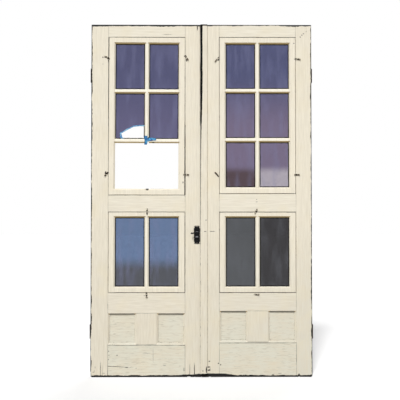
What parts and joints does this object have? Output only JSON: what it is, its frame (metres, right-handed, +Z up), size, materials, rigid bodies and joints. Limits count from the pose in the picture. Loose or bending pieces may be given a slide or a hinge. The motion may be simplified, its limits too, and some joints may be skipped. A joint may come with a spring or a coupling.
{
  "type": "pair of storm doors",
  "caption": "Pair of painted wooden storm doors: stile-and-rail leaves with lift-out glazed sashes held by turn buttons, flat lower panels, butt hinges and a rim latch.",
  "frame": {"origin": "middle of the foot of the pair: the meeting line, half way through the leaves' thickness, at their foot", "axes": "+X to the right seen from the room side, +Y from the room side to the outer side, +Z up"},
  "size_m": [1.425, 0.092, 2.25],
  "materials": {
    "painted_leaf": "old cream oil paint on pine, brushed",
    "painted_sash": "old cream oil paint on pine, brushed",
    "painted_panel": "old greyed cream oil paint on pine, brushed",
    "old_glass": "slightly wavy old window glass",
    "putty": "painted linseed putty",
    "blue_tape": "crepe paper tape",
    "black_iron": "black japanned cast iron",
    "button_steel": "tarnished steel with paint smears",
    "screw_steel": "tarnished steel",
    "hinge_steel": "rusty steel with paint smears"
  },
  "bodies": {
    "jamb_side": {"jamb_hinge_leaves": "hinge_steel", "hinge_pins": "hinge_steel"},
    "left_leaf": {"left_hinge_stile": "painted_leaf", "left_meeting_stile": "painted_leaf", "left_top_rail": "painted_leaf", "left_lock_rail": "painted_leaf", "left_panel_rail": "painted_leaf", "left_bottom_rail": "painted_leaf", "left_panel_muntin": "painted_leaf", "left_panels": "painted_panel", "left_upper_sash": "painted_sash", "left_upper_bars": "painted_sash", "left_upper_glass": "old_glass", "left_lower_sash": "painted_sash", "left_lower_bars": "painted_sash", "left_lower_glass": "old_glass", "left_putty": "putty", "left_screws": "screw_steel", "left_door_hinge_leaves": "hinge_steel", "left_broken_pane": "old_glass", "pane_tape": "blue_tape", "junction_tape": "blue_tape", "latch_case": "black_iron", "latch_rose": "black_iron", "latch_screws": "screw_steel"},
    "right_leaf": {"right_hinge_stile": "painted_leaf", "right_meeting_stile": "painted_leaf", "right_top_rail": "painted_leaf", "right_lock_rail": "painted_leaf", "right_panel_rail": "painted_leaf", "right_bottom_rail": "painted_leaf", "right_panel_muntin": "painted_leaf", "right_panels": "painted_panel", "right_upper_sash": "painted_sash", "right_upper_bars": "painted_sash", "right_upper_glass": "old_glass", "right_lower_sash": "painted_sash", "right_lower_bars": "painted_sash", "right_lower_glass": "old_glass", "right_putty": "putty", "right_screws": "screw_steel", "right_door_hinge_leaves": "hinge_steel", "astragal": "painted_leaf"},
    "latch_handle": {"latch_lever": "black_iron", "latch_spindle": "black_iron", "latch_knob": "black_iron"},
    "latch_bolt": {"latch_bolt": "black_iron"},
    "left_turn_button_upper_left": {"left_turn_button_upper_left": "button_steel"},
    "left_turn_button_upper_right": {"left_turn_button_upper_right": "button_steel"},
    "left_turn_button_middle_left": {"left_turn_button_middle_left": "button_steel"},
    "left_turn_button_middle_right": {"left_turn_button_middle_right": "button_steel"},
    "left_turn_button_lower_top": {"left_turn_button_lower_top": "button_steel"},
    "left_turn_button_lower_bottom": {"left_turn_button_lower_bottom": "button_steel"},
    "right_turn_button_upper_left": {"right_turn_button_upper_left": "button_steel"},
    "right_turn_button_upper_right": {"right_turn_button_upper_right": "button_steel"},
    "right_turn_button_middle_left": {"right_turn_button_middle_left": "button_steel"},
    "right_turn_button_middle_right": {"right_turn_button_middle_right": "button_steel"},
    "right_turn_button_lower_top": {"right_turn_button_lower_top": "button_steel"},
    "right_turn_button_lower_bottom": {"right_turn_button_lower_bottom": "button_steel"}
  },
  "joints": [
    {"name": "left_leaf_swing", "type": "hinge", "parent": "jamb_side", "child": "left_leaf", "pos_m": [-0.707, 0.0235, 0], "axis": [0, 0, 1], "range_deg": [0, 110]},
    {"name": "right_leaf_swing", "type": "hinge", "parent": "jamb_side", "child": "right_leaf", "pos_m": [0.707, 0.0235, 0], "axis": [0, 0, -1], "range_deg": [0, 95]},
    {"name": "latch_handle_turn", "type": "hinge", "parent": "left_leaf", "child": "latch_handle", "pos_m": [-0.029, 0, 0.915], "axis": [0, -1, 0], "range_deg": [0, 55.6]},
    {"name": "latch_bolt_slide", "type": "slide", "parent": "left_leaf", "child": "latch_bolt", "axis": [1, 0, 0], "range_m": [0, 0.0145]},
    {"name": "left_turn_button_upper_left_turn", "type": "hinge", "parent": "left_leaf", "child": "left_turn_button_upper_left", "pos_m": [-0.6165, -0.0175, 2.045], "axis": [0, -1, 0], "continuous": true},
    {"name": "left_turn_button_upper_right_turn", "type": "hinge", "parent": "left_leaf", "child": "left_turn_button_upper_right", "pos_m": [-0.0875, -0.0175, 2.024], "axis": [0, -1, 0], "continuous": true},
    {"name": "left_turn_button_middle_left_turn", "type": "hinge", "parent": "left_leaf", "child": "left_turn_button_middle_left", "pos_m": [-0.616, -0.0175, 1.28], "axis": [0, -1, 0], "continuous": true},
    {"name": "left_turn_button_middle_right_turn", "type": "hinge", "parent": "left_leaf", "child": "left_turn_button_middle_right", "pos_m": [-0.0845, -0.0175, 1.284], "axis": [0, -1, 0], "continuous": true},
    {"name": "left_turn_button_lower_top_turn", "type": "hinge", "parent": "left_leaf", "child": "left_turn_button_lower_top", "pos_m": [-0.3474, -0.0175, 1.0666], "axis": [0, -1, 0], "continuous": true},
    {"name": "left_turn_button_lower_bottom_turn", "type": "hinge", "parent": "left_leaf", "child": "left_turn_button_lower_bottom", "pos_m": [-0.35, -0.0175, 0.504], "axis": [0, -1, 0], "continuous": true},
    {"name": "right_turn_button_upper_left_turn", "type": "hinge", "parent": "right_leaf", "child": "right_turn_button_upper_left", "pos_m": [0.0885, -0.0175, 2.014], "axis": [0, -1, 0], "continuous": true},
    {"name": "right_turn_button_upper_right_turn", "type": "hinge", "parent": "right_leaf", "child": "right_turn_button_upper_right", "pos_m": [0.632, -0.0175, 2.027], "axis": [0, -1, 0], "continuous": true},
    {"name": "right_turn_button_middle_left_turn", "type": "hinge", "parent": "right_leaf", "child": "right_turn_button_middle_left", "pos_m": [0.089, -0.0175, 1.298], "axis": [0, -1, 0], "continuous": true},
    {"name": "right_turn_button_middle_right_turn", "type": "hinge", "parent": "right_leaf", "child": "right_turn_button_middle_right", "pos_m": [0.625, -0.0175, 1.285], "axis": [0, -1, 0], "continuous": true},
    {"name": "right_turn_button_lower_top_turn", "type": "hinge", "parent": "right_leaf", "child": "right_turn_button_lower_top", "pos_m": [0.355, -0.0175, 1.063], "axis": [0, -1, 0], "continuous": true},
    {"name": "right_turn_button_lower_bottom_turn", "type": "hinge", "parent": "right_leaf", "child": "right_turn_button_lower_bottom", "pos_m": [0.366, -0.0175, 0.52], "axis": [0, -1, 0], "continuous": true}
  ],
  "couplings": [
    {"joint": "right_leaf_swing", "follows": "left_leaf_swing", "ratio": 0.85},
    {"joint": "latch_bolt_slide", "follows": "latch_handle_turn", "m_per_rad": 0.014417}
  ]
}
